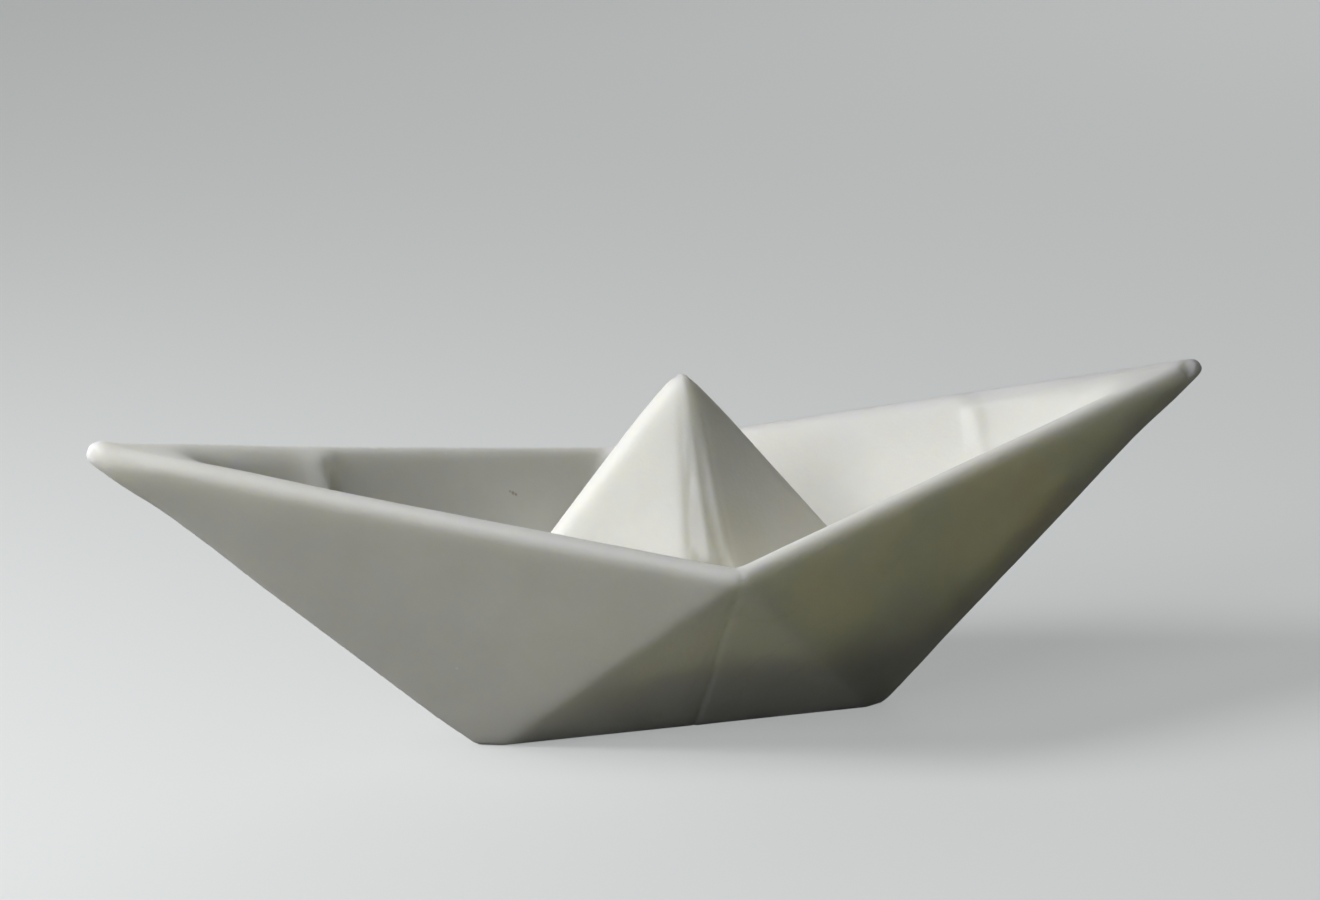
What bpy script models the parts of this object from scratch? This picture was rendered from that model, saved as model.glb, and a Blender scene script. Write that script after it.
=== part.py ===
"""A stone figure of a folded paper boat, carved in one piece.

The hull is a wall of even thickness between flat panels, with a rounded rim. Its quarters mirror one
another, so one quarter is worked out from its planes and the rest is mirrored. The sail is a solid
pyramid that rises from the hull, open along its front and back ridges in a narrow slit between two
flaps. Lengths are in metres. X runs from bow to bow, Z is up, and the flat keel stands on Z = 0.
"""

import math
from itertools import combinations

import bmesh
import bpy
import numpy as np
from mathutils import Matrix

# Hull, measured to its sharp outer corners
BOW_REACH = 0.0974
BOW_HEIGHT = 0.0546
WAIST_HALF_WIDTH = 0.0412
WAIST_HEIGHT = 0.0353
STEM_FOOT = 0.0358
CREASE_FOOT = 0.0312
SEAM_FOOT = 0.0038
WALL = 0.0040
RIM_OUTER_ROUND = 0.0017
RIM_INNER_ROUND = 0.0022
RIM_INNER_DEPTH = 0.0027
RIM_LEVEL_SHARE = 0.32
STEM_ROUND = 0.0024
STEM_FOOT_ROUND = 0.0008
CREASE_ROUND = 0.0012
BASE_ROUND = 0.0005
INNER_STEM_ROUND = 0.0012
INNER_CREASE_ROUND = 0.0016
FLOOR_STEM_ROUND = 0.0003
FLOOR_RISE = 0.0030

# How far the real hull is from an even one
KEEL_SHIFT = 0.0020
WAIST_SHIFT = 0.0029
WAIST_RISE = 0.0013
BOW_DROP = 0.0002

# Sail, measured to its sharp tip and foot
SAIL_HEIGHT = 0.0636
SAIL_HALF_LENGTH = 0.0533
SAIL_HALF_WIDTH = 0.0293
SAIL_ROUND = 0.0028
SAIL_TOP = 0.0582
SAIL_X = 0.0030
SAIL_Y = 0.0012

# Slit between the sail's flaps, and the core that shows in it
SLIT_TOP = 0.0585
SLIT_FULL_DEPTH_HEIGHT = 0.0515
SLIT_TIP_HALF_WIDTH = 0.00065
SLIT_FOOT_HALF_WIDTH = 0.0064
SLIT_X = 0.0005
CORE_HEIGHT = 0.0621
CORE_HALF_LENGTH = 0.0462
CORE_HALF_WIDTH = 0.0254
CORE_ROUND = 0.0008

# Tucked layers inside the bows, and the stone that fills the bows behind them
TUCK_EDGE_LEFT = 0.0552
TUCK_EDGE_RIGHT = 0.0562
TUCK_THICKNESS = 0.0009
TUCK_DROP = 0.0002
FILL_LENGTH = 0.0161
FILL_RISE = 0.0007

# Seam on the outside of the waist, whose foot stands off to one side
SEAM_WIDTH = 0.0006
SEAM_DEPTH = 0.0004
SEAM_LEAN = 0.0014

# What hidden faces reach past the face that they are cut or joined to
OVERRUN = 0.0050
EMBED = 0.0016

# Mesh
RIM_STEPS = 10
ROUND_STEPS = 4
CREASE_STEPS = 3
CAP_STEPS = 4
MERGE = 0.000002

STONE_COLOUR = (0.83, 0.83, 0.79, 1.0)
STONE_ROUGHNESS = 0.55

ACROSS_X = np.array((-1.0, 1.0, 1.0))
ACROSS_Y = np.array((1.0, -1.0, 1.0))
MIDDLE_X = (np.array((1.0, 0.0, 0.0)), 0.0)
MIDDLE_Y = (np.array((0.0, 1.0, 0.0)), 0.0)


def unit(vector):
    return vector / np.linalg.norm(vector)


def plane_through(first, second, third, outer):
    """The plane of three points, as a unit normal on the side of outer and a distance along it."""
    normal = unit(np.cross(second - first, third - first))
    if normal @ outer < 0:
        normal = -normal
    return normal, normal @ first


def moved(plane, inset):
    return plane[0], plane[1] - inset


def mirrored(plane, axis):
    return plane[0] * axis, plane[1]


def meet(first, second, third):
    normals = np.array((first[0], second[0], third[0]))
    return np.linalg.solve(normals, np.array((first[1], second[1], third[1])))


def level(height):
    return np.array((0.0, 0.0, 1.0)), height


def turn(first, second, share):
    """A unit normal that has turned by a share of the way from the first to the second."""
    angle = math.acos(np.clip(first @ second, -1.0, 1.0))
    return (first * math.sin((1 - share) * angle) + second * math.sin(share * angle)) / math.sin(angle)


def ridge(first, second, radius, cut, shares):
    """Points of the rounded edge between two planes, where a third plane cuts it."""
    axis = meet(moved(first, radius), moved(second, radius), cut)
    along = np.cross(first[0], second[0])
    points = []
    for share in shares:
        point = axis + radius * turn(first[0], second[0], share)
        points.append(point + along * (cut[1] - cut[0] @ point) / (cut[0] @ along))
    return points


def all_round(quarter):
    """A closed ring from the points of its quarter, which run from the stem at -X to the waist at -Y."""
    front = quarter + [point * ACROSS_X for point in reversed(quarter[:-1])]
    return front + [point * ACROSS_Y for point in reversed(front[1:-1])]


def bent(point):
    """A point of the even hull, moved to the real one, whose waist sits back and is lower in front."""
    spread = BOW_REACH / STEM_FOOT - 1
    back = WAIST_SHIFT / (1 + spread * WAIST_HEIGHT / BOW_HEIGHT)
    along = KEEL_SHIFT * (1 - point[2] / BOW_HEIGHT)
    across = back * (1 - abs(point[0]) / STEM_FOOT + spread * point[2] / BOW_HEIGHT)
    rise = WAIST_RISE / WAIST_HEIGHT * point[1] / WAIST_HALF_WIDTH
    drop = BOW_DROP / BOW_HEIGHT * point[0] / BOW_REACH
    return point[0] + along, point[1] + across, point[2] * (1 + rise - drop)


def placed(point):
    """A point of the sail's pyramid, moved to its place in the hull."""
    return point[0] + SAIL_X, point[1] + SAIL_Y, point[2]


def mesh_object(name, bm, place):
    for vertex in bm.verts:
        vertex.co = place(vertex.co)
    bmesh.ops.remove_doubles(bm, verts=bm.verts, dist=MERGE)
    bmesh.ops.dissolve_degenerate(bm, edges=bm.edges, dist=MERGE)
    bmesh.ops.recalc_face_normals(bm, faces=bm.faces)
    mesh = bpy.data.meshes.new(name)
    bm.to_mesh(mesh)
    bm.free()
    body = bpy.data.objects.new(name, mesh)
    bpy.context.scene.collection.objects.link(body)
    return body


def loft(name, rings, place, last_is_point=False):
    """A closed body from rings of as many points each, with flat ends."""
    bm = bmesh.new()
    rows = [[bm.verts.new(point) for point in ring] for ring in rings]
    for lower, upper in zip(rows, rows[1:]):
        for i in range(len(lower)):
            bm.faces.new((lower[i - 1], lower[i], upper[i], upper[i - 1]))
    bm.faces.new(rows[0])
    if not last_is_point:
        bm.faces.new(rows[-1])
    return mesh_object(name, bm, place)


def convex_body(name, planes, place):
    """The body that lies inside every plane, from the corners in which they meet."""
    bm = bmesh.new()
    for trio in combinations(planes, 3):
        if abs(np.linalg.det(np.array([normal for normal, distance in trio]))) < MERGE:
            continue
        corner = meet(*trio)
        if all(normal @ corner <= distance + MERGE for normal, distance in planes):
            bm.verts.new(corner)
    bmesh.ops.remove_doubles(bm, verts=bm.verts, dist=MERGE)
    hull = bmesh.ops.convex_hull(bm, input=bm.verts)
    bmesh.ops.delete(bm, geom=list(set(hull["geom_interior"] + hull["geom_unused"])), context="VERTS")
    bmesh.ops.dissolve_limit(bm, angle_limit=math.radians(0.1), verts=bm.verts, edges=bm.edges)
    return mesh_object(name, bm, place)


def combine(body, tool, operation):
    """Cuts the tool from the body, joins it to the body or keeps what both share."""
    modifier = body.modifiers.new(tool.name, "BOOLEAN")
    modifier.operation = operation
    modifier.solver = "MANIFOLD"
    modifier.object = tool
    tool.hide_render = True
    tool.display_type = "WIRE"


def hull_planes():
    """The planes of the quarter at -X and -Y: side panel, waist panel, wall end and top of the bow."""
    bow = np.array((-BOW_REACH, 0.0, BOW_HEIGHT))
    waist = np.array((0.0, -WAIST_HALF_WIDTH, WAIST_HEIGHT))
    outwards = np.array((-1.0, -1.0, -1.0))
    side = plane_through(bow, waist, np.array((-STEM_FOOT, 0.0, 0.0)), outwards)
    across = (np.array((-1.0, 0.0, 0.0)), CREASE_FOOT)
    crease_foot = meet(side, across, level(0.0))
    belly = plane_through(waist, crease_foot, np.array((0.0, -SEAM_FOOT, 0.0)), outwards)
    level_across = unit(np.cross(waist - bow, np.array((0.0, 0.0, 1.0))))
    if level_across @ side[0] < 0:
        level_across = -level_across
    across_rim = (1 - RIM_LEVEL_SHARE) * side[0] + RIM_LEVEL_SHARE * level_across
    end_normal = unit(np.cross(waist - bow, across_rim))
    if end_normal[2] < 0:
        end_normal = -end_normal
    bow_top = plane_through(bow, waist, waist * ACROSS_Y, np.array((0.0, 0.0, 1.0)))
    return side, belly, (end_normal, end_normal @ bow), bow_top


SIDE, BELLY, WALL_END, BOW_TOP = hull_planes()


def hull_ring(inset, stem_round, crease_round, cut):
    """The hull's outline at one cut, inset from its outer panels."""
    side = moved(SIDE, inset)
    belly = moved(BELLY, inset)
    half_turn_shares = [0.5 + 0.5 * i / ROUND_STEPS for i in range(ROUND_STEPS + 1)]
    whole_turn_shares = [i / CREASE_STEPS for i in range(CREASE_STEPS + 1)]
    quarter = ridge(mirrored(side, ACROSS_Y), side, stem_round, cut, half_turn_shares)
    crease = ridge(side, belly, crease_round, cut, whole_turn_shares)
    corner = meet(side, MIDDLE_X, cut)
    if crease[0][0] < 0:
        corner = meet(belly, MIDDLE_X, cut)
    for point in crease:
        quarter.append(point if point[0] < 0 else corner)
    quarter.append(corner)
    return all_round(quarter)


def hull_rings(skin=0.0):
    """Rings from the flat keel up the outside, over the rim and down to the floor inside.

    A skin takes that much off every face.
    """
    rings = []
    for i in range(CAP_STEPS + 1):
        angle = math.radians(90.0) * (1 - i / CAP_STEPS)
        height = BASE_ROUND * (1 - math.sin(angle)) + skin
        inset = BASE_ROUND * (1 - math.cos(angle)) + skin
        rings.append(hull_ring(inset, STEM_FOOT_ROUND, CREASE_ROUND, level(height)))
    for i in range(RIM_STEPS + 1):
        angle = math.pi * i / RIM_STEPS
        side_share = 0.5 - 0.5 * math.cos(angle)
        inset = skin + (RIM_OUTER_ROUND - skin) * (1 - math.cos(angle))
        depth = RIM_OUTER_ROUND - (RIM_OUTER_ROUND - skin) * math.sin(angle)
        if angle > math.radians(90.0):
            inset = WALL - skin - (RIM_INNER_ROUND - skin) * (1 + math.cos(angle))
            depth = RIM_INNER_DEPTH - (RIM_INNER_DEPTH - skin) * math.sin(angle)
        stem_round = STEM_ROUND + (INNER_STEM_ROUND - STEM_ROUND) * side_share
        crease_round = CREASE_ROUND + (INNER_CREASE_ROUND - CREASE_ROUND) * side_share
        rings.append(hull_ring(inset, stem_round, crease_round, moved(WALL_END, depth)))
    groove = meet(moved(BELLY, WALL - skin), MIDDLE_X, MIDDLE_Y)
    rings.append(hull_ring(WALL - skin, FLOOR_STEM_ROUND, FLOOR_STEM_ROUND, level(groove[2] + FLOOR_RISE)))
    return rings


def pyramid_face(height, half_length, half_width):
    """The face at -X and -Y of a pyramid that stands on Z = 0."""
    top = np.array((0.0, 0.0, height))
    end = np.array((-half_length, 0.0, 0.0))
    return plane_through(top, end, np.array((0.0, -half_width, 0.0)), np.array((-1.0, -1.0, 1.0)))


SAIL_FACE = pyramid_face(SAIL_HEIGHT, SAIL_HALF_LENGTH, SAIL_HALF_WIDTH)
CORE_FACE = pyramid_face(CORE_HEIGHT, CORE_HALF_LENGTH, CORE_HALF_WIDTH)


def pyramid(name, face, radius, top):
    """A pyramid with rounded ridges, and a rounded tip that reaches up to top."""
    end_turn_shares = [0.5 + 0.5 * i / ROUND_STEPS for i in range(ROUND_STEPS + 1)]
    front_turn_shares = [0.5 * i / ROUND_STEPS for i in range(ROUND_STEPS + 1)]
    foot = level(-OVERRUN)
    foot_quarter = ridge(mirrored(face, ACROSS_Y), face, radius, foot, end_turn_shares)
    foot_quarter += ridge(face, mirrored(face, ACROSS_X), radius, foot, front_turn_shares)
    normals = [turn(face[0] * ACROSS_Y, face[0], share) for share in end_turn_shares]
    normals += [turn(face[0], face[0] * ACROSS_X, share) for share in front_turn_shares]
    centre = meet(moved(face, radius), MIDDLE_X, MIDDLE_Y)
    up = np.array((0.0, 0.0, 1.0))
    shoulder = centre[2] + radius * face[0][2]
    flatness = (top - shoulder) / (centre[2] + radius - shoulder)
    rings = [all_round(foot_quarter)]
    for i in range(CAP_STEPS + 1):
        quarter = [centre + radius * turn(normal, up, i / CAP_STEPS) for normal in normals]
        for point in quarter:
            point[2] = shoulder + (point[2] - shoulder) * flatness
        rings.append(all_round(quarter))
    return loft(name, rings, placed, last_is_point=True)


def slit_cutter(name, axis):
    """What is cut from one ridge of the sail: slanted sides, and a floor that rises out near the tip."""
    left = np.array((-1.0, 0.0, 0.0))
    tip = meet(SAIL_FACE, (left, SLIT_TIP_HALF_WIDTH), level(SAIL_HEIGHT))
    foot = meet(SAIL_FACE, (left, SLIT_FOOT_HALF_WIDTH), level(0.0))
    inwards = np.array((OVERRUN, OVERRUN, 0.0))
    side = plane_through(tip, foot, foot + inwards, np.array((-1.0, 1.0, 0.0)))
    start = meet(SAIL_FACE, MIDDLE_X, level(SLIT_TOP))
    deep = meet(CORE_FACE, MIDDLE_X, level(SLIT_FULL_DEPTH_HEIGHT))
    floor = plane_through(start, deep, start + left * OVERRUN, np.array((0.0, 1.0, 0.0)))
    planes = [side, mirrored(side, ACROSS_X), floor, level(SAIL_HEIGHT + OVERRUN)]
    planes.append((np.array((0.0, -1.0, 0.0)), SAIL_HALF_WIDTH + OVERRUN))
    planes.append((np.array((0.0, 0.0, -1.0)), 2 * OVERRUN))
    aside = np.array((SLIT_X, 0.0, 0.0))
    shifted = [(normal, distance + normal @ aside) for normal, distance in planes]
    cutter = convex_body(name, [mirrored(plane, axis) for plane in shifted], placed)
    core = pyramid(name + "_core", CORE_FACE, CORE_ROUND, CORE_HEIGHT - CORE_ROUND)
    combine(cutter, core, "DIFFERENCE")
    return cutter


def hull_block_planes():
    """The planes of the hull as a solid block, its panels inset by part of the wall."""
    inset = WALL - EMBED
    planes = [(np.array((0.0, 0.0, -1.0)), -inset)]
    for normal, distance in (moved(SIDE, inset), moved(BELLY, inset)):
        for axis in (np.ones(3), ACROSS_X, ACROSS_Y, ACROSS_X * ACROSS_Y):
            planes.append((normal * axis, distance))
    return planes


def within_hull():
    """The hull as a solid block, open high above the rim."""
    return convex_body("within_hull", hull_block_planes() + [level(SAIL_HEIGHT + OVERRUN)], bent)


def bow_fill(name, end):
    """The stone that fills a bow up to a plane along its stem, level with the rim."""
    start = np.array((FILL_LENGTH - BOW_REACH, 0.0, BOW_HEIGHT))
    along_stem = unit(np.array((BOW_HEIGHT, 0.0, BOW_REACH - STEM_FOOT)))
    planes = hull_block_planes() + [(along_stem, along_stem @ start), moved(BOW_TOP, -FILL_RISE)]
    axis = np.array((end, 1.0, 1.0))
    return convex_body(name, [mirrored(plane, axis) for plane in planes], bent)


def tuck(name, end, edge):
    """The extra layer inside a bow: its two walls lie on the hull's, and both stop at one upright edge."""
    stop = (np.array((1.0, 0.0, 0.0)), -edge)
    block = [moved(SIDE, WALL - EMBED), moved(BELLY, WALL - EMBED), stop, moved(BOW_TOP, TUCK_DROP)]
    hollow = [moved(SIDE, WALL + TUCK_THICKNESS)]
    block += [mirrored(plane, ACROSS_Y) for plane in block[:2]]
    hollow += [mirrored(plane, ACROSS_Y) for plane in hollow]
    hollow += [level(BOW_HEIGHT + OVERRUN), MIDDLE_X]
    axis = np.array((end, 1.0, 1.0))
    layer = convex_body(name, [mirrored(plane, axis) for plane in block], bent)
    cutter = convex_body(name + "_hollow", [mirrored(plane, axis) for plane in hollow], bent)
    combine(layer, cutter, "DIFFERENCE")
    return layer


def seam_cutter(name, front):
    """A thin leaning sheet in the middle, less all that lies deeper than the seam or inside the hull."""
    half = SEAM_WIDTH / 2
    across = unit(np.array((WAIST_HEIGHT, 0.0, SEAM_LEAN)))
    middle = SEAM_LEAN * across[0]
    planes = [(across, middle + half), (-across, half - middle)]
    planes += [(np.array((0.0, front, 0.0)), WAIST_HALF_WIDTH + OVERRUN), level(WAIST_HEIGHT + OVERRUN)]
    inner = moved(BELLY, WALL - 2 * SEAM_DEPTH)
    planes.append((-inner[0] * np.array((1.0, -front, 1.0)), -inner[1]))
    planes.append((np.array((0.0, 0.0, -1.0)), OVERRUN))
    sheet = convex_body(name, planes, bent)
    combine(sheet, loft(name + "_core", hull_rings(SEAM_DEPTH), bent), "DIFFERENCE")
    return sheet


def stone():
    material = bpy.data.materials.new("white stone")
    material.use_nodes = True
    shader = material.node_tree.nodes["Principled BSDF"]
    shader.inputs["Base Color"].default_value = STONE_COLOUR
    shader.inputs["Roughness"].default_value = STONE_ROUGHNESS
    shader.inputs["Metallic"].default_value = 0.0
    material.diffuse_color = STONE_COLOUR
    return material


def settled(body):
    """The body's mesh with its modifiers applied, moved so that its box is centred on the Z axis."""
    depsgraph = bpy.context.evaluated_depsgraph_get()
    mesh = bpy.data.meshes.new_from_object(body.evaluated_get(depsgraph))
    body.modifiers.clear()
    body.data = mesh
    points = np.array([vertex.co for vertex in mesh.vertices])
    middle = (points.min(axis=0) + points.max(axis=0)) / 2
    mesh.transform(Matrix.Translation((-middle[0], -middle[1], 0.0)))
    return mesh


def build():
    for body in list(bpy.data.objects):
        bpy.data.objects.remove(body, do_unlink=True)

    boat = loft("boat", hull_rings(), bent)
    sail = pyramid("sail", SAIL_FACE, SAIL_ROUND, SAIL_TOP)
    combine(sail, slit_cutter("slit_front", np.ones(3)), "DIFFERENCE")
    combine(sail, slit_cutter("slit_back", ACROSS_Y), "DIFFERENCE")
    combine(sail, within_hull(), "INTERSECT")
    combine(boat, sail, "UNION")
    combine(boat, bow_fill("fill_left", 1.0), "UNION")
    combine(boat, bow_fill("fill_right", -1.0), "UNION")
    combine(boat, tuck("tuck_left", 1.0, TUCK_EDGE_LEFT), "UNION")
    combine(boat, tuck("tuck_right", -1.0, TUCK_EDGE_RIGHT), "UNION")
    combine(boat, seam_cutter("seam_front", -1.0), "DIFFERENCE")
    combine(boat, seam_cutter("seam_back", 1.0), "DIFFERENCE")

    mesh = settled(boat)
    mesh.materials.clear()
    mesh.materials.append(stone())
    mesh.shade_smooth()
    mesh.set_sharp_from_angle(angle=math.radians(30.0))


build()
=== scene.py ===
"""The look of the stone paper boat figure: its softly worn body, its stone, a pale floor and the lamps."""

import math

import bmesh
import bpy
import numpy as np
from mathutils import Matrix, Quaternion, Vector


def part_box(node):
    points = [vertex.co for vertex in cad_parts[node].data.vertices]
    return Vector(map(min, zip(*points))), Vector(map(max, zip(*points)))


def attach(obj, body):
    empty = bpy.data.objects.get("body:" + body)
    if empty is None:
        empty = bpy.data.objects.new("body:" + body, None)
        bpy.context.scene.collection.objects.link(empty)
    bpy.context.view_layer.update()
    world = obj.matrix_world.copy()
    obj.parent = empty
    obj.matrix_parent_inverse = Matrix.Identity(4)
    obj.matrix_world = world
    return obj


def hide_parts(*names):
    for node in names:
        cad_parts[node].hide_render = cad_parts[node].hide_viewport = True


# Lengths are in metres.

# Camera
CAMERA_PLACE = (-0.188679, -0.629870, 0.198910)
CAMERA_TARGET = (-0.001119, -0.002872, 0.046205)
CAMERA_ROLL_DEGREES = -0.997
CAMERA_LENS_MM = 113.73
CAMERA_SENSOR_MM = 36.0

# Lamps, floor and world
KEY_PLACE = (-0.508, 0.010, 0.356)
KEY_SIZE = 0.25
KEY_WATTS = 3.1
FRONT_PLACE = (-0.796, -0.557, 0.516)
FRONT_SIZE = 0.45
FRONT_WATTS = 3.1
BACK_PLACE = (0.60, 0.85, 0.45)
BACK_SIZE = 0.60
BACK_WATTS = 0.8
LAMP_TARGET = (0.0, 0.0, 0.02)
WORLD_COLOUR = (1.00, 0.98, 0.86)
WORLD_STRENGTH = 0.018
BACKDROP_COLOUR = (0.62, 0.64, 0.64)
FLOOR_HALF_WIDTH = 4.0
FLOOR_SEEN_COLOUR = (0.49, 0.50, 0.50)
FLOOR_BOUNCE_COLOUR = (0.12, 0.118, 0.100)
FLOOR_GLOW_COLOUR = (0.97, 1.00, 1.00)
FLOOR_GLOW = 0.32
FLOOR_ROUGHNESS = 0.75
FLOOR_SPECULAR = 0.2

# Mesh of the body, and how it is softened all over
WELD = 0.00001
VOXEL = 0.00036
TRIANGLES = 190000
KEEL_SKIN = 0.00015
SOFT_PASSES = 10
EXTRA_SOFT_PASSES = 8
LAST_SOFT_PASSES = 2
SOFT_SHARE = 0.5
SOFT_LEAST = 0.01

# Rims: the ends of their sharp lines, how near them the surface is softened once more, and how near them
# it is kept from the softening along other lines
RIM_ENDS = ((-0.0960, -0.0029, 0.0550), (0.0960, -0.0029, 0.0540))
RIM_WAISTS = ((0.0008, -0.0400, 0.0340), (0.0008, 0.0395, 0.0362))
RIM_SOFT_REACH = 0.0030
RIM_GUARD_REACH = 0.0016
RIM_GUARD_FULL = 0.35
RIM_GUARD_NONE = 0.10

# Sail: its axis and its top, and how its tip is drawn in towards the axis and stretched to the top
SAIL_AXIS = (0.0030, -0.0017)
SAIL_TOP = 0.0582
TIP_PINCH_SHARE = 0.45
TIP_PINCH_REACH = 0.0022
TIP_STRETCH_START = 0.0560

# Lines along which the surface is softened further: start, end, reach and passes
SOFT_LINES = (
    # the slit in the sail
    ((0.0030, -0.0170, 0.0300), (0.0030, -0.0035, 0.0545), 0.0035, 20),
    # where the stone that fills each bow ends
    ((-0.0805, -0.0035, 0.0500), (-0.0780, 0.0032, 0.0518), 0.0044, 220),
    ((0.0797, -0.0040, 0.0502), (0.0774, 0.0025, 0.0512), 0.0048, 240),
    # the tops of the tucked layers
    ((-0.0811, 0.0010, 0.0512), (-0.0590, 0.0096, 0.0468), 0.0016, 60),
    ((-0.0780, 0.0003, 0.0510), (-0.0575, 0.0083, 0.0468), 0.0019, 150),
    ((0.0811, -0.0002, 0.0515), (0.0590, 0.0100, 0.0472), 0.0014, 50),
    # the upright edge of the tucked layer at +X
    ((0.0573, 0.0111, 0.0474), (0.0555, -0.0020, 0.0270), 0.0016, 80),
)

# Upright edge of the tucked layer at -X: it is kept sharper, and moved towards +X
KEPT_EDGE = ((-0.0540, 0.0113, 0.0462), (-0.0550, 0.0020, 0.0335))
KEPT_EDGE_REACH = 0.0016
KEPT_EDGE_SHARE = 0.85
EDGE_NUDGE_TOP = 0.0017
EDGE_NUDGE_FOOT = 0.00105
EDGE_NUDGE_HIGH = 0.0465
EDGE_NUDGE_LOW = 0.0400
EDGE_NUDGE_REACH = 0.0030

# Tucked layers: which way each faces, where its edge stands, how far it lifts and how far it sinks back
TUCK_NORMAL_LEFT = (0.431, -0.752, 0.500)
TUCK_NORMAL_RIGHT = (-0.436, -0.763, 0.477)
TUCK_LEFT_X = -0.0532
TUCK_LEFT_LEAN = 0.29
TUCK_LEFT_LEVEL = 0.0413
TUCK_LIFT = 0.0017
TUCK_LIFT_HIGH = 0.0470
TUCK_LIFT_LOW = 0.0375
TUCK_LIFT_FADE = 0.0100
TUCK_RIGHT_X = 0.0555
TUCK_RIGHT_LEAN = 0.088
TUCK_SINK = 0.00090
TUCK_SINK_RAMP = 0.0033
TUCK_SINK_FADE = 0.0170
TUCK_LOW = 0.0240
TUCK_LOW_FULL = 0.0370
TUCK_EDGE_SOFT = 0.0004
TUCK_GUARD_REACH = 0.0030
TUCK_GUARD_FULL = 0.75
TUCK_GUARD_NONE = 0.40

# Sail's slit: how much of its depth is filled again, and its sizes and the sail's on the solid
SLIT_FILL_SHARE = 0.55
SLIT_FILL_RISE = 0.34
SLIT_DEEPEST = 0.0026
SLIT_LOW = 0.0285
SLIT_LOW_FADE = 0.0025
SLIT_SHIFT = 0.0005
SLIT_TIP_HALF_WIDTH = 0.00065
SLIT_FOOT_HALF_WIDTH = 0.0064
SLIT_SIDE_SOFT = 0.0004
SAIL_PEAK = 0.0636
SAIL_HALF_LENGTH = 0.0533
SAIL_HALF_WIDTH = 0.0293

# Bows: how much fuller each is below, above and at its corners, and from where to where it gets so
STEM_OUTWARDS = 0.663
STEM_DOWNWARDS = 0.748
BOW_SWELL_BELOW = 0.00075
BOW_SWELL_BELOW_START = 0.0795
BOW_SWELL_BELOW_END = 0.0885
BOW_SWELL_ABOVE = 0.00035
BOW_SWELL_ABOVE_START = 0.0500
BOW_SWELL_ABOVE_END = 0.0780
BOW_CORNERS = (
    ((-0.0920, -0.0029, 0.0556), (-0.35, 0.0, 0.94), 0.00055),
    ((0.0925, -0.0029, 0.0530), (0.5, -0.4, -0.6), 0.0003),
)
BOW_CORNER_REACH = 0.0024
TIP_CUT_PLACE = (0.0918, -0.0040, 0.0530)
TIP_CUT_NORMAL = (-0.249, -0.798, 0.549)
TIP_CUT_START = 0.0896
TIP_CUT_END = 0.0902
BOW_END = 0.0937
BOW_STRETCH_START = 0.0870
STEM_SWELL = 0.00030
STEM_SWELL_START = -0.0760
STEM_SWELL_END = -0.0650
STEM_SWELL_FOOT = 0.0060

# Grooves, and one raised edge with a depth below 0: points along each, its depth and its half width.
# Those beside the slit fade out between two heights.
LEFT_NOTCH = ((-0.0926, -0.0026, 0.0552), (-0.0927, -0.0039, 0.0533), (-0.0915, -0.0048, 0.0510))
RIGHT_LINE = (
    (0.0569, 0.0108, 0.0470), (0.0635, 0.0078, 0.0483), (0.0718, 0.0046, 0.0499), (0.0800, 0.0010, 0.0515),
)
RIGHT_CREASE = ((0.0800, 0.0010, 0.0515), (0.0861, -0.0029, 0.0528), (0.0899, -0.0048, 0.0530))
RIGHT_NOTCH = ((0.0899, -0.0048, 0.0530), (0.0906, -0.0049, 0.0521), (0.0905, -0.0043, 0.0508))
RIM_JOINT = ((0.0012, -0.0365, 0.0365), (0.0010, -0.0388, 0.0358), (0.0007, -0.0397, 0.0339))
SEAM = (
    (0.0007, -0.0397, 0.0339), (0.0011, -0.0356, 0.0293), (0.0015, -0.0257, 0.0194),
    (0.0025, -0.0176, 0.0117), (0.0030, -0.0100, 0.0045), (0.0033, -0.0060, 0.0008),
)
SLIT_LEFT = (
    (0.0004, -0.0140, 0.0331), (0.0006, -0.0126, 0.0369), (0.0013, -0.0107, 0.0413),
    (0.0021, -0.0086, 0.0457), (0.0026, -0.0067, 0.0500),
)
SLIT_RIGHT = (
    (0.0044, -0.0139, 0.0327), (0.0041, -0.0125, 0.0365), (0.0040, -0.0107, 0.0411),
    (0.0040, -0.0088, 0.0456), (0.0038, -0.0068, 0.0500),
)
SLIT_EDGE = (
    (0.0058, -0.0135, 0.0324), (0.0054, -0.0119, 0.0362), (0.0051, -0.0101, 0.0408),
    (0.0049, -0.0082, 0.0453), (0.0046, -0.0063, 0.0497),
)
TUCK_WEDGE = (
    (-0.0524, 0.0102, 0.0430), (-0.0527, 0.0086, 0.0413),
    (-0.0530, 0.0068, 0.0390), (-0.0532, 0.0048, 0.0360),
)
GROOVES = (
    (TUCK_WEDGE, 0.00150, 0.00135),
    (LEFT_NOTCH, 0.00025, 0.00060),
    (RIGHT_LINE, 0.00012, 0.00050),
    (RIGHT_CREASE, 0.00022, 0.00050),
    (RIGHT_NOTCH, 0.00040, 0.00065),
    (RIM_JOINT, 0.00014, 0.00035),
    (SEAM, 0.00026, 0.00036),
)
SLIT_GROOVES = (
    (SLIT_LEFT, 0.00026, 0.00050),
    (SLIT_RIGHT, 0.00023, 0.00050),
    (SLIT_EDGE, -0.00055, 0.00052),
)
SLIT_FADE_START = 0.0400
SLIT_FADE_END = 0.0500

# Seam: how far the stone at +X of it stands out, and over what width
SEAM_STEP = 0.00010
SEAM_STEP_WIDTH = 0.0025

# Uneven surface: wave length and height of each layer of waves, and how far above the keel they are full
WAVES = ((0.034, 0.00005), (0.013, 0.000015))
WAVES_PER_LAYER = 9
WAVE_SEED = 7
WAVES_FROM = 0.003

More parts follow.
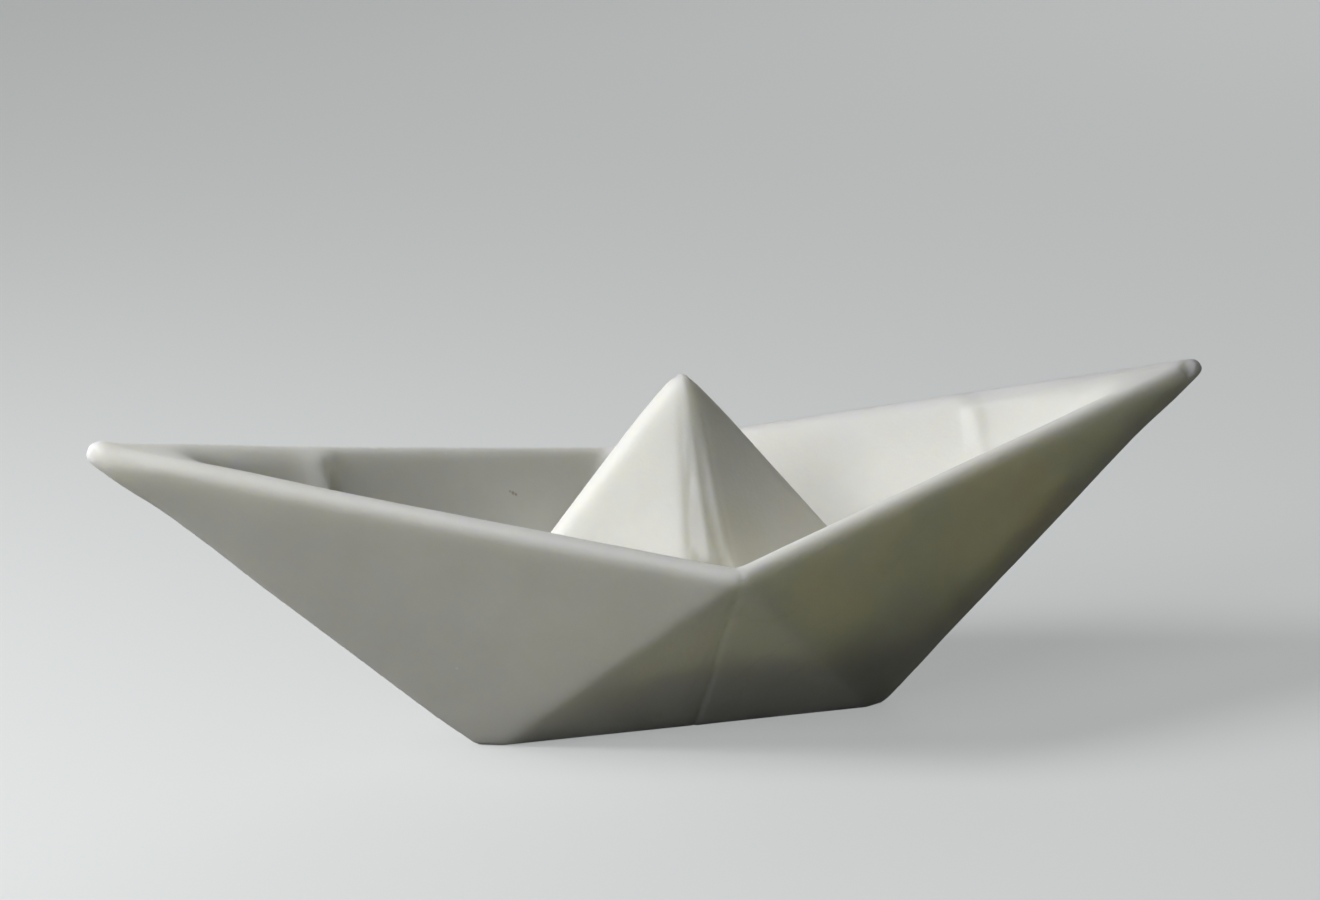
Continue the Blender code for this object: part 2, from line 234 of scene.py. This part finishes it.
# Stone: colours, per layer of clouds or veins its scale per metre and how strongly it shows, and between
# which values of the noise a cloud or a patch of veins comes in
STONE_COLOUR = (0.83, 0.83, 0.79)
WARM_COLOUR = (0.80, 0.775, 0.70)
COOL_COLOUR = (0.76, 0.775, 0.76)
VEIN_COLOUR = (0.56, 0.55, 0.50)
WARM_CLOUDS = (19.0, 0.65)
COOL_CLOUDS = (47.0, 0.50)
FINE_CLOUDS = (260.0, 0.25)
CLOUD_DETAIL = 4.0
CLOUD_LIMITS = (0.40, 0.66)
VEINS = (24.0, 0.13)
VEIN_DETAIL = 5.0
VEIN_DISTORTION = 1.2
VEIN_MIDDLE = 0.5
VEIN_HALF_WIDTH_SHARE = 0.012
VEIN_PATCHES = 13.0
VEIN_PATCH_LIMITS = (0.50, 0.62)
STONE_ROUGHNESS_SCALE = 95.0
STONE_ROUGHNESS_LIMITS = (0.3, 0.7)
STONE_ROUGHNESS_LOW = 0.48
STONE_ROUGHNESS_HIGH = 0.64
NOISE_DETAIL = 3.0
GRAIN_SCALE = 1500.0
GRAIN_HEIGHT = 0.00003
DIMPLE_SCALE = 240.0
DIMPLE_DETAIL = 2.0
DIMPLE_HEIGHT = 0.00006
GLOW_WEIGHT = 1.0
GLOW_THROUGH = (1.0, 1.0, 0.79)
GLOW_THROUGH_SCALE = 0.0058

# Marks in the stone and painted glints on it: colour, how strongly it shows, and its spots as places and
# radii
MARKS_AND_GLINTS = (
    # a dark fleck on the inner wall
    ((0.36, 0.32, 0.25), 0.75, (
        ((-0.01930, 0.0234, 0.0350), 0.00042),
        ((-0.01885, 0.0236, 0.0346), 0.00050),
        ((-0.01840, 0.0238, 0.0342), 0.00042),
    )),
    # painted glints: light specks on the hull standing in for glints of light
    ((0.97, 0.97, 0.95), 0.80, (
        ((-0.03756, -0.01013, 0.0153), 0.00035),
        ((0.0463, -0.0207, 0.0225), 0.00028),
    )),
    # faint warm-brown tints on the +X bow's front hull and on the tucked layer at -X
    ((0.80, 0.66, 0.50), 0.13, (
        ((0.0638, -0.0072, 0.0315), 0.0080),
        ((0.0584, -0.0140, 0.0386), 0.0060),
        ((-0.0580, 0.0080, 0.0430), 0.0030),
    )),
    # faint yellow tints at the sail's foot
    ((0.80, 0.77, 0.58), 0.34, (
        ((0.0090, -0.0120, 0.0330), 0.0090),
        ((-0.0080, -0.0160, 0.0330), 0.0050),
    )),
)
MARK_AND_GLINT_SOFT_SHARE = 0.30


def mesh_arrays(mesh):
    """The mesh's points and edges as arrays."""
    points = np.empty(len(mesh.vertices) * 3)
    mesh.vertices.foreach_get("co", points)
    edges = np.empty(len(mesh.edges) * 2, dtype=np.int32)
    mesh.edges.foreach_get("vertices", edges)
    return points.reshape(-1, 3), edges.reshape(-1, 2)


def put_points(mesh, points):
    """Moves the mesh's points to new places."""
    mesh.vertices.foreach_set("co", points.ravel())
    mesh.update()


def normals_of(mesh):
    """The direction in which the surface faces at each point."""
    normals = np.empty(len(mesh.vertices) * 3)
    mesh.vertex_normals.foreach_get("vector", normals)
    return normals.reshape(-1, 3)


def near_point(points, place, reach):
    """For each point 1 at a place, falling softly to 0 at some reach from it."""
    distance = np.linalg.norm(points - np.array(place), axis=1)
    return np.exp(-((distance / reach) ** 2))


def offsets(points, start, end):
    """Each point's offset from the nearest place on the line from start to end."""
    start = np.array(start)
    along = np.array(end) - start
    share = np.clip((points - start) @ along / (along @ along), 0.0, 1.0)
    return points - start - share[:, None] * along


def near_line(points, start, end, reach):
    """For each point 1 on the line from start to end, falling softly to 0 at some reach from it."""
    distance = np.linalg.norm(offsets(points, start, end), axis=1)
    return np.exp(-((distance / reach) ** 2))


def softened(points, edges, passes, weights):
    """Points moved towards the middle of their neighbours, some passes, each by its own weight."""
    moving = weights > SOFT_LEAST
    edges = edges[moving[edges].any(axis=1)]
    used, small = np.unique(edges, return_inverse=True)
    first, second = small.reshape(edges.shape).T
    count = len(used)
    neighbours = np.bincount(first, minlength=count) + np.bincount(second, minlength=count)
    part = points[used]
    share = (weights * moving)[used, None]
    for _ in range(passes):
        middle = np.empty_like(part)
        for axis in range(3):
            values = part[:, axis]
            total = np.bincount(first, values[second], count) + np.bincount(second, values[first], count)
            middle[:, axis] = total / neighbours
        part = part + share * (middle - part)
    points = points.copy()
    points[used] = part
    return points


def ramp(values, start, end):
    """0 up to start, 1 from end on, and soft in between; end may lie before start."""
    share = np.clip((values - start) / (end - start), 0.0, 1.0)
    return share * share * (3.0 - 2.0 * share)


def near_rims(points, reach):
    """For each point 1 on a rim's sharp line, falling softly to 0 at some reach from it."""
    near = np.zeros(len(points))
    for end in RIM_ENDS:
        for waist in RIM_WAISTS:
            near = np.maximum(near, near_line(points, end, waist, reach))
    return near


def pointed_sail(points, weights):
    """The sail's tip drawn in towards its axis and stretched up to its full height."""
    near = np.linalg.norm(points[:, :2] - np.array(SAIL_AXIS), axis=1) < points[:, 2]
    top = points[:, 2].max()
    pinch = TIP_PINCH_SHARE * np.exp(-(top - points[:, 2]) / TIP_PINCH_REACH) * weights * near
    points = points.copy()
    points[:, :2] += (np.array(SAIL_AXIS) - points[:, :2]) * pinch[:, None]
    points[:, 2] += (SAIL_TOP - top) * ramp(points[:, 2], TIP_STRETCH_START, top)
    return points


def shallow_slit(points):
    """The core that shows in the sail's slits raised towards the faces of the flaps."""
    across = np.array((1.0 / SAIL_HALF_LENGTH, 1.0 / SAIL_HALF_WIDTH, 1.0 / SAIL_PEAK))
    aside = points[:, 0] - SAIL_AXIS[0]
    ahead = points[:, 1] - SAIL_AXIS[1]
    height = points[:, 2] / SAIL_PEAK
    below = 1.0 - height - np.abs(aside) / SAIL_HALF_LENGTH - np.abs(ahead) / SAIL_HALF_WIDTH
    depth = below / np.linalg.norm(across)
    half = SLIT_TIP_HALF_WIDTH + (SLIT_FOOT_HALF_WIDTH - SLIT_TIP_HALF_WIDTH) * (1.0 - height)
    inside = 1.0 - ramp(np.abs(aside - SLIT_SHIFT) - half, -SLIT_SIDE_SOFT, SLIT_SIDE_SOFT)
    rising = ramp(points[:, 2], SLIT_LOW, SLIT_LOW + SLIT_LOW_FADE)
    inside *= (depth > 0.0) * (depth < SLIT_DEEPEST) * rising
    outwards = np.zeros_like(points)
    outwards[:, 1] = np.sign(ahead) * across[1]
    outwards[:, 2] = across[2]
    outwards /= np.linalg.norm(outwards, axis=1)[:, None]
    right = np.clip((aside - SLIT_SHIFT) / half, 0.0, 1.0) * (ahead < 0.0)
    share = SLIT_FILL_SHARE + SLIT_FILL_RISE * right
    return points + outwards * (share * depth * inside)[:, None]


def tucked(points, normals):
    """The tucked layer at -X lifted off the wall below its corner, and the one at +X sunk into the wall."""
    points = points.copy()
    upper = ramp(points[:, 2], EDGE_NUDGE_LOW, EDGE_NUDGE_HIGH)
    nudge = EDGE_NUDGE_FOOT + (EDGE_NUDGE_TOP - EDGE_NUDGE_FOOT) * upper
    points[:, 0] += nudge * near_line(points, *KEPT_EDGE, EDGE_NUDGE_REACH)
    low = ramp(points[:, 2], TUCK_LOW, TUCK_LOW_FULL)
    low *= ramp(near_rims(points, TUCK_GUARD_REACH), TUCK_GUARD_FULL, TUCK_GUARD_NONE)
    facing = np.clip(normals @ np.array(TUCK_NORMAL_LEFT), 0.0, 1.0) ** 2 * low
    edge_x = TUCK_LEFT_X + TUCK_LEFT_LEAN * (points[:, 2] - TUCK_LEFT_LEVEL)
    back = np.clip(edge_x - points[:, 0], 0.0, None)
    lift = TUCK_LIFT * ramp(points[:, 2], TUCK_LIFT_HIGH, TUCK_LIFT_LOW) * np.exp(-back / TUCK_LIFT_FADE)
    lift *= ramp(points[:, 0] - edge_x, TUCK_EDGE_SOFT, -TUCK_EDGE_SOFT) * facing
    sinking = points[:, 0] - TUCK_RIGHT_X - TUCK_RIGHT_LEAN * (points[:, 2] - TUCK_LOW)
    sink = TUCK_SINK * ramp(sinking, -TUCK_SINK_RAMP / 2, TUCK_SINK_RAMP / 2)
    sink *= 1.0 - ramp(sinking, TUCK_SINK_RAMP / 2, TUCK_SINK_FADE)
    sink *= np.clip(normals @ np.array(TUCK_NORMAL_RIGHT), 0.0, 1.0) ** 2 * low
    return points + np.outer(lift, TUCK_NORMAL_LEFT) - np.outer(sink, TUCK_NORMAL_RIGHT)


def full_bows(points, normals):
    """The bows made fuller above and below, the stem at -X along its length, and the tip at +X cut flat."""
    points = points.copy()
    reach = np.abs(points[:, 0])
    outwards = np.sign(points[:, :1]) * np.array((STEM_OUTWARDS, 0.0, 0.0))
    outwards = outwards - np.array((0.0, 0.0, STEM_DOWNWARDS))
    facing = np.clip((normals * outwards).sum(axis=1), 0.0, 1.0)
    below = BOW_SWELL_BELOW * ramp(reach, BOW_SWELL_BELOW_START, BOW_SWELL_BELOW_END)
    lift = ramp(points[:, 2], 0.0, STEM_SWELL_FOOT)
    along = STEM_SWELL * lift * ramp(points[:, 0], STEM_SWELL_START, STEM_SWELL_END) * (points[:, 0] < 0.0)
    above = BOW_SWELL_ABOVE * ramp(-points[:, 0], BOW_SWELL_ABOVE_START, BOW_SWELL_ABOVE_END)
    above *= np.clip(normals[:, 2], 0.0, 1.0)
    points += outwards * (facing * (below + along))[:, None]
    points[:, 2] += above
    for place, direction, amount in BOW_CORNERS:
        towards = np.clip(normals @ np.array(direction), 0.0, 1.0)
        towards *= near_point(points, place, BOW_CORNER_REACH)
        points += np.array(direction) * (amount * towards)[:, None]
    over = np.clip((points - np.array(TIP_CUT_PLACE)) @ np.array(TIP_CUT_NORMAL), 0.0, None)
    over *= ramp(points[:, 0], TIP_CUT_START, TIP_CUT_END)
    points -= np.outer(over, TIP_CUT_NORMAL)
    for side in (-1.0, 1.0):
        end = (points[:, 0] * side).max()
        points[:, 0] += side * (BOW_END - end) * ramp(points[:, 0] * side, BOW_STRETCH_START, end)
    return points


def groove_depth(points, grooves):
    """How deep the grooves are at each point; a raised edge has a depth below 0."""
    depth = np.zeros(len(points))
    for places, deepest, half_width in grooves:
        near = np.zeros(len(points))
        for start, end in zip(places, places[1:]):
            near = np.maximum(near, near_line(points, start, end, half_width))
        depth += deepest * near
    return depth


def grooved(points, normals):
    """The grooves pressed in; those beside the sail's slit fade out towards the sail's tip."""
    fading = ramp(points[:, 2], SLIT_FADE_END, SLIT_FADE_START)
    depth = groove_depth(points, GROOVES) + groove_depth(points, SLIT_GROOVES) * fading
    return points - normals * depth[:, None]


def stepped(points, normals):
    """The stone at +X of the seam raised a little, less and less away from the seam."""
    nearest = np.full(len(points), np.inf)
    aside = np.zeros(len(points))
    for start, end in zip(SEAM, SEAM[1:]):
        offset = offsets(points, start, end)
        distance = np.linalg.norm(offset, axis=1)
        closer = distance < nearest
        nearest = np.where(closer, distance, nearest)
        aside = np.where(closer, offset[:, 0], aside)
    height = SEAM_STEP * (aside > 0.0) * np.exp(-nearest / SEAM_STEP_WIDTH)
    return points + normals * height[:, None]


def waves(points):
    """A soft uneven height over the surface, from layers of plane waves."""
    random = np.random.default_rng(WAVE_SEED)
    height = np.zeros(len(points))
    for length, size in WAVES:
        for _ in range(WAVES_PER_LAYER):
            direction = random.normal(size=3)
            direction /= np.linalg.norm(direction)
            phase = random.uniform(0.0, 2.0 * math.pi)
            turn = points @ direction * 2.0 * math.pi / length + phase
            height += size / math.sqrt(WAVES_PER_LAYER) * np.sin(turn)
    return height


def new_object(name, data):
    piece = bpy.data.objects.new(name, data)
    bpy.context.scene.collection.objects.link(piece)
    return piece


def applied(piece):
    """Applies the piece's modifiers to its mesh."""
    graph = bpy.context.evaluated_depsgraph_get()
    mesh = bpy.data.meshes.new_from_object(piece.evaluated_get(graph))
    piece.modifiers.clear()
    piece.data = mesh
    return mesh


def stone_body(node):
    """The CAD solid as one fine mesh whose edges and faces are softly worn."""
    mesh = node.data.copy()
    bm = bmesh.new()
    bm.from_mesh(mesh)
    bmesh.ops.remove_doubles(bm, verts=bm.verts, dist=WELD)
    bm.to_mesh(mesh)
    bm.free()
    piece = new_object("boat_stone", mesh)
    remesh = piece.modifiers.new("voxels", "REMESH")
    remesh.mode = "VOXEL"
    remesh.voxel_size = VOXEL
    mesh = applied(piece)

    points, edges = mesh_arrays(mesh)
    on_keel = points[:, 2] < KEEL_SKIN
    free = np.where(on_keel, 0.0, SOFT_SHARE)
    kept = near_line(points, *KEPT_EDGE, KEPT_EDGE_REACH)
    points = softened(points, edges, SOFT_PASSES, free * (1.0 - KEPT_EDGE_SHARE * kept))
    points = softened(points, edges, EXTRA_SOFT_PASSES, free * near_rims(points, RIM_SOFT_REACH))
    off_rims = ramp(near_rims(points, RIM_GUARD_REACH), RIM_GUARD_FULL, RIM_GUARD_NONE)
    for start, end, reach, passes in SOFT_LINES:
        near = near_line(points, start, end, reach)
        points = softened(points, edges, passes, free * near * off_rims)
    points = shallow_slit(points)
    points = pointed_sail(points, np.where(on_keel, 0.0, 1.0))
    put_points(mesh, points)
    points = full_bows(points, normals_of(mesh))
    put_points(mesh, points)
    points = tucked(points, normals_of(mesh))
    points = stepped(points, normals_of(mesh))
    points = grooved(points, normals_of(mesh))
    points = softened(points, edges, LAST_SOFT_PASSES, free)
    put_points(mesh, points)

    normals = normals_of(mesh)
    above_keel = np.clip(points[:, 2] / WAVES_FROM, 0.0, 1.0)
    points = points + normals * (waves(points) * above_keel)[:, None]
    points[on_keel, 2] = np.minimum(points[on_keel, 2], KEEL_SKIN)
    points[:, 2] = np.maximum(points[:, 2], 0.0)
    low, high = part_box("boat")
    points = np.clip(points, np.array(low), np.array(high))
    put_points(mesh, points)

    reduce = piece.modifiers.new("fewer faces", "DECIMATE")
    reduce.ratio = min(1.0, TRIANGLES / (2 * len(mesh.polygons)))
    mesh = applied(piece)
    points, _ = mesh_arrays(mesh)
    put_points(mesh, np.clip(points, np.array(low), np.array(high)))
    mesh.shade_smooth()
    return piece


def maths(tree, operation, first, second):
    """A maths node's value; the second number may be another node's socket."""
    node = tree.nodes.new("ShaderNodeMath")
    node.operation = operation
    tree.links.new(first, node.inputs[0])
    if isinstance(second, float):
        node.inputs[1].default_value = second
    else:
        tree.links.new(second, node.inputs[1])
    return node.outputs["Value"]


def band(tree, value, start, end):
    """1 where the value is past end, 0 where it is short of start, and soft in between."""
    node = tree.nodes.new("ShaderNodeMapRange")
    node.interpolation_type = "SMOOTHSTEP"
    tree.links.new(value, node.inputs["Value"])
    node.inputs["From Min"].default_value = start
    node.inputs["From Max"].default_value = end
    return node.outputs["Result"]


def noise(tree, place, scale, detail=NOISE_DETAIL, distortion=0.0):
    node = tree.nodes.new("ShaderNodeTexNoise")
    tree.links.new(place, node.inputs["Vector"])
    node.inputs["Scale"].default_value = scale
    node.inputs["Detail"].default_value = detail
    node.inputs["Distortion"].default_value = distortion
    return node.outputs["Fac"]


def blended(tree, share, under, colour):
    """A colour laid over another one by a share that varies over the surface."""
    node = tree.nodes.new("ShaderNodeMix")
    node.data_type = "RGBA"
    tree.links.new(share, node.inputs["Factor"])
    tree.links.new(under, node.inputs["A"])
    node.inputs["B"].default_value = (*colour, 1.0)
    return node.outputs["Result"]


def veins(tree, place):
    """Thin broken lines, along which a distorted noise passes its middle value."""
    scale, strength = VEINS
    value = noise(tree, place, scale, VEIN_DETAIL, VEIN_DISTORTION)
    off_middle = maths(tree, "ABSOLUTE", maths(tree, "SUBTRACT", value, VEIN_MIDDLE), 0.0)
    line = band(tree, off_middle, VEIN_HALF_WIDTH_SHARE, 0.0)
    patches = band(tree, noise(tree, place, VEIN_PATCHES), *VEIN_PATCH_LIMITS)
    return maths(tree, "MULTIPLY", maths(tree, "MULTIPLY", line, patches), strength)


def spot(tree, place, centre, radius):
    node = tree.nodes.new("ShaderNodeVectorMath")
    node.operation = "DISTANCE"
    tree.links.new(place, node.inputs[0])
    node.inputs[1].default_value = centre
    return band(tree, node.outputs["Value"], radius, radius * MARK_AND_GLINT_SOFT_SHARE)


def stone_colour(tree, place):
    """White stone with warm and cool clouds, faint veins, a few marks and painted glints."""
    colour = tree.nodes.new("ShaderNodeRGB").outputs["Color"]
    colour.default_value = (*STONE_COLOUR, 1.0)
    layers = ((WARM_CLOUDS, WARM_COLOUR), (COOL_CLOUDS, COOL_COLOUR), (FINE_CLOUDS, WARM_COLOUR))
    for (scale, strength), over in layers:
        cloud = band(tree, noise(tree, place, scale, CLOUD_DETAIL), *CLOUD_LIMITS)
        colour = blended(tree, maths(tree, "MULTIPLY", cloud, strength), colour, over)
    colour = blended(tree, veins(tree, place), colour, VEIN_COLOUR)
    # marks in the stone, and painted glints laid into the colour
    for over, strength, spots in MARKS_AND_GLINTS:
        share = None
        for centre, radius in spots:
            part = spot(tree, place, centre, radius)
            share = part if share is None else maths(tree, "MAXIMUM", share, part)
        colour = blended(tree, maths(tree, "MULTIPLY", share, strength), colour, over)
    return colour


def new_material(name):
    """A new material with its node tree and its shader."""
    material = bpy.data.materials.new(name)
    material.use_nodes = True
    tree = material.node_tree
    return material, tree, tree.nodes["Principled BSDF"]


def stone_material():
    material, tree, shader = new_material("white stone")
    place = tree.nodes.new("ShaderNodeTexCoord").outputs["Object"]
    tree.links.new(stone_colour(tree, place), shader.inputs["Base Color"])

    rough = tree.nodes.new("ShaderNodeMapRange")
    tree.links.new(noise(tree, place, STONE_ROUGHNESS_SCALE), rough.inputs["Value"])
    rough.inputs["From Min"].default_value = STONE_ROUGHNESS_LIMITS[0]
    rough.inputs["From Max"].default_value = STONE_ROUGHNESS_LIMITS[1]
    rough.inputs["To Min"].default_value = STONE_ROUGHNESS_LOW
    rough.inputs["To Max"].default_value = STONE_ROUGHNESS_HIGH
    tree.links.new(rough.outputs["Result"], shader.inputs["Roughness"])
    shader.inputs["Subsurface Weight"].default_value = GLOW_WEIGHT
    shader.inputs["Subsurface Radius"].default_value = GLOW_THROUGH
    shader.inputs["Subsurface Scale"].default_value = GLOW_THROUGH_SCALE

    grain = maths(tree, "MULTIPLY", noise(tree, place, GRAIN_SCALE), GRAIN_HEIGHT)
    dimples = maths(tree, "MULTIPLY", noise(tree, place, DIMPLE_SCALE, DIMPLE_DETAIL), DIMPLE_HEIGHT)
    bump = tree.nodes.new("ShaderNodeBump")
    bump.inputs["Distance"].default_value = 1.0
    bump.inputs["Strength"].default_value = 1.0
    tree.links.new(maths(tree, "ADD", grain, dimples), bump.inputs["Height"])
    tree.links.new(bump.outputs["Normal"], shader.inputs["Normal"])
    return material


def seen_directly(tree):
    """1 for rays that show a surface to the camera, straight or by way of a shiny or clear face."""
    path = tree.nodes.new("ShaderNodeLightPath").outputs
    shiny = maths(tree, "MAXIMUM", path["Is Camera Ray"], path["Is Glossy Ray"])
    return maths(tree, "MAXIMUM", shiny, path["Is Transmission Ray"])


def floor_material():
    material, tree, shader = new_material("pale floor")
    seen = seen_directly(tree)
    mix = tree.nodes.new("ShaderNodeMix")
    mix.data_type = "RGBA"
    mix.inputs["A"].default_value = (*FLOOR_BOUNCE_COLOUR, 1.0)
    mix.inputs["B"].default_value = (*FLOOR_SEEN_COLOUR, 1.0)
    tree.links.new(seen, mix.inputs["Factor"])
    tree.links.new(mix.outputs["Result"], shader.inputs["Base Color"])
    shader.inputs["Roughness"].default_value = FLOOR_ROUGHNESS
    shader.inputs["Specular IOR Level"].default_value = FLOOR_SPECULAR
    shader.inputs["Emission Color"].default_value = (*FLOOR_GLOW_COLOUR, 1.0)
    tree.links.new(maths(tree, "MULTIPLY", seen, FLOOR_GLOW), shader.inputs["Emission Strength"])
    return material


def make_floor():
    half = FLOOR_HALF_WIDTH
    mesh = bpy.data.meshes.new("floor")
    corners = [(-half, -half, 0.0), (half, -half, 0.0), (half, half, 0.0), (-half, half, 0.0)]
    mesh.from_pydata(corners, [], [(0, 1, 2, 3)])
    mesh.materials.append(floor_material())
    floor = new_object("floor", mesh)


def place_facing(piece, place, target, roll_degrees=0.0):
    """Puts a lamp or a camera at a place, facing a target and rolled about its view."""
    piece.location = place
    piece.rotation_mode = "QUATERNION"
    facing = (Vector(target) - Vector(place)).to_track_quat("-Z", "Y")
    piece.rotation_quaternion = facing @ Quaternion((0.0, 0.0, 1.0), math.radians(roll_degrees))


def make_lamp(name, place, size, watts):
    data = bpy.data.lights.new(name, "AREA")
    data.shape = "DISK"
    data.size = size
    data.energy = watts
    place_facing(new_object(name, data), place, LAMP_TARGET)


def make_world():
    world = bpy.data.worlds.new("studio")
    bpy.context.scene.world = world
    world.use_nodes = True
    tree = world.node_tree
    tree.nodes.clear()
    output = tree.nodes.new("ShaderNodeOutputWorld")
    light = tree.nodes.new("ShaderNodeBackground")
    light.inputs["Color"].default_value = (*WORLD_COLOUR, 1.0)
    light.inputs["Strength"].default_value = WORLD_STRENGTH
    seen = tree.nodes.new("ShaderNodeBackground")
    seen.inputs["Color"].default_value = (*BACKDROP_COLOUR, 1.0)
    seen.inputs["Strength"].default_value = 1.0
    mix = tree.nodes.new("ShaderNodeMixShader")
    tree.links.new(seen_directly(tree), mix.inputs["Fac"])
    tree.links.new(light.outputs["Background"], mix.inputs[1])
    tree.links.new(seen.outputs["Background"], mix.inputs[2])
    tree.links.new(mix.outputs["Shader"], output.inputs["Surface"])


def make_camera():
    data = bpy.data.cameras.new("camera")
    data.sensor_fit = "HORIZONTAL"
    data.sensor_width = CAMERA_SENSOR_MM
    data.lens = CAMERA_LENS_MM
    camera = new_object("camera", data)
    place_facing(camera, CAMERA_PLACE, CAMERA_TARGET, CAMERA_ROLL_DEGREES)
    bpy.context.scene.camera = camera


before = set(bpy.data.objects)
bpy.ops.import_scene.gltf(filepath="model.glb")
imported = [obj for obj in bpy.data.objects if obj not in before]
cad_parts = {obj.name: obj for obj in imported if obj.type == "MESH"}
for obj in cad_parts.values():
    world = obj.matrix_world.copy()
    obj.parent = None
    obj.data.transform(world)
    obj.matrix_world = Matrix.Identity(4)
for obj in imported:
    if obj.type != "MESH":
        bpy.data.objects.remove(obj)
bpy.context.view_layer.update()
make_camera()
body = stone_body(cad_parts["boat"])
body.data.materials.clear()
body.data.materials.append(stone_material())
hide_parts("boat")
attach(body, "root")
make_floor()
make_lamp("key", KEY_PLACE, KEY_SIZE, KEY_WATTS)
make_lamp("front", FRONT_PLACE, FRONT_SIZE, FRONT_WATTS)
make_lamp("back", BACK_PLACE, BACK_SIZE, BACK_WATTS)
make_world()
bpy.context.scene.view_settings.view_transform = "Standard"
